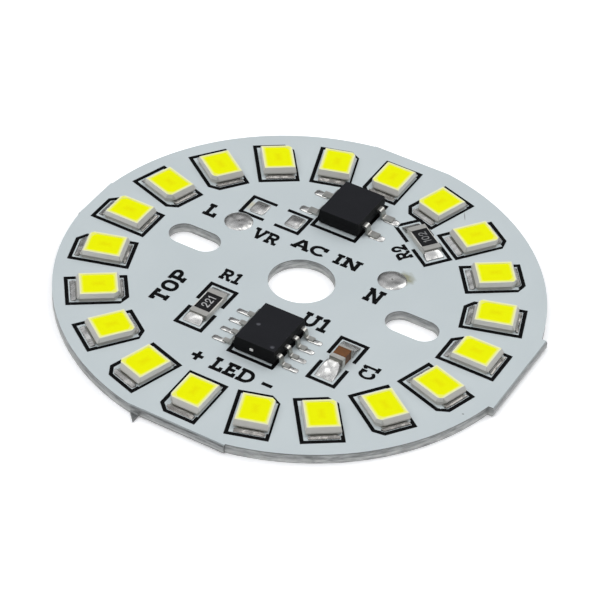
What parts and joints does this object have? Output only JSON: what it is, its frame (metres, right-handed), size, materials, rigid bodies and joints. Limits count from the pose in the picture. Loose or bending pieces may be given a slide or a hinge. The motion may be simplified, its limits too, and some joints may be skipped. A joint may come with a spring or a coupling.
{
  "type": "round led light board",
  "caption": "Round aluminium light board with a ring of white LEDs, a driver chip, a bridge rectifier and pads for two mains wires; a centre hole and screw slots fix it in a lamp.",
  "frame": {"origin": "axis of the centre hole, on the bare back face", "axes": "+Z leaves the lit face; +X runs along the two screw slots, towards the widest break-off tab; +Y points to the rectifier's side"},
  "size_m": [0.0401, 0.0403, 0.0023],
  "materials": {
    "aluminium": "satin",
    "white_lacquer": "satin",
    "black_ink": "matte",
    "white_plastic": "matte",
    "phosphor": "satin",
    "tinned_copper": "satin",
    "solder": "polished",
    "mould_compound": "matte",
    "white_ceramic": "matte",
    "black_glaze": "satin",
    "brown_ceramic": "matte"
  },
  "bodies": {
    "root": {"base_plate": "aluminium", "white_coat": "white_lacquer", "legend_ink": "black_ink", "led_housing_01": "white_plastic", "led_housing_02": "white_plastic", "led_housing_03": "white_plastic", "led_housing_04": "white_plastic", "led_housing_05": "white_plastic", "led_housing_06": "white_plastic", "led_housing_07": "white_plastic", "led_housing_08": "white_plastic", "led_housing_09": "white_plastic", "led_housing_10": "white_plastic", "led_housing_11": "white_plastic", "led_housing_12": "white_plastic", "led_housing_13": "white_plastic", "led_housing_14": "white_plastic", "led_housing_15": "white_plastic", "led_housing_16": "white_plastic", "led_housing_17": "white_plastic", "led_housing_18": "white_plastic", "led_housing_19": "white_plastic", "led_housing_20": "white_plastic", "led_phosphor_01": "phosphor", "led_phosphor_02": "phosphor", "led_phosphor_03": "phosphor", "led_phosphor_04": "phosphor", "led_phosphor_05": "phosphor", "led_phosphor_06": "phosphor", "led_phosphor_07": "phosphor", "led_phosphor_08": "phosphor", "led_phosphor_09": "phosphor", "led_phosphor_10": "phosphor", "led_phosphor_11": "phosphor", "led_phosphor_12": "phosphor", "led_phosphor_13": "phosphor", "led_phosphor_14": "phosphor", "led_phosphor_15": "phosphor", "led_phosphor_16": "phosphor", "led_phosphor_17": "phosphor", "led_phosphor_18": "phosphor", "led_phosphor_19": "phosphor", "led_phosphor_20": "phosphor", "led_terminals": "tinned_copper", "driver_body": "mould_compound", "driver_leads": "tinned_copper", "rectifier_body": "mould_compound", "rectifier_leads": "tinned_copper", "resistor_1_ceramic": "white_ceramic", "resistor_1_caps": "tinned_copper", "resistor_1_overcoat": "black_glaze", "resistor_2_ceramic": "white_ceramic", "resistor_2_caps": "tinned_copper", "resistor_2_overcoat": "black_glaze", "capacitor_body": "brown_ceramic", "capacitor_caps": "tinned_copper", "solder_joints": "solder", "wire_pad_line": "solder", "wire_pad_neutral": "solder", "varistor_pads": "solder"}
  },
  "joints": []
}
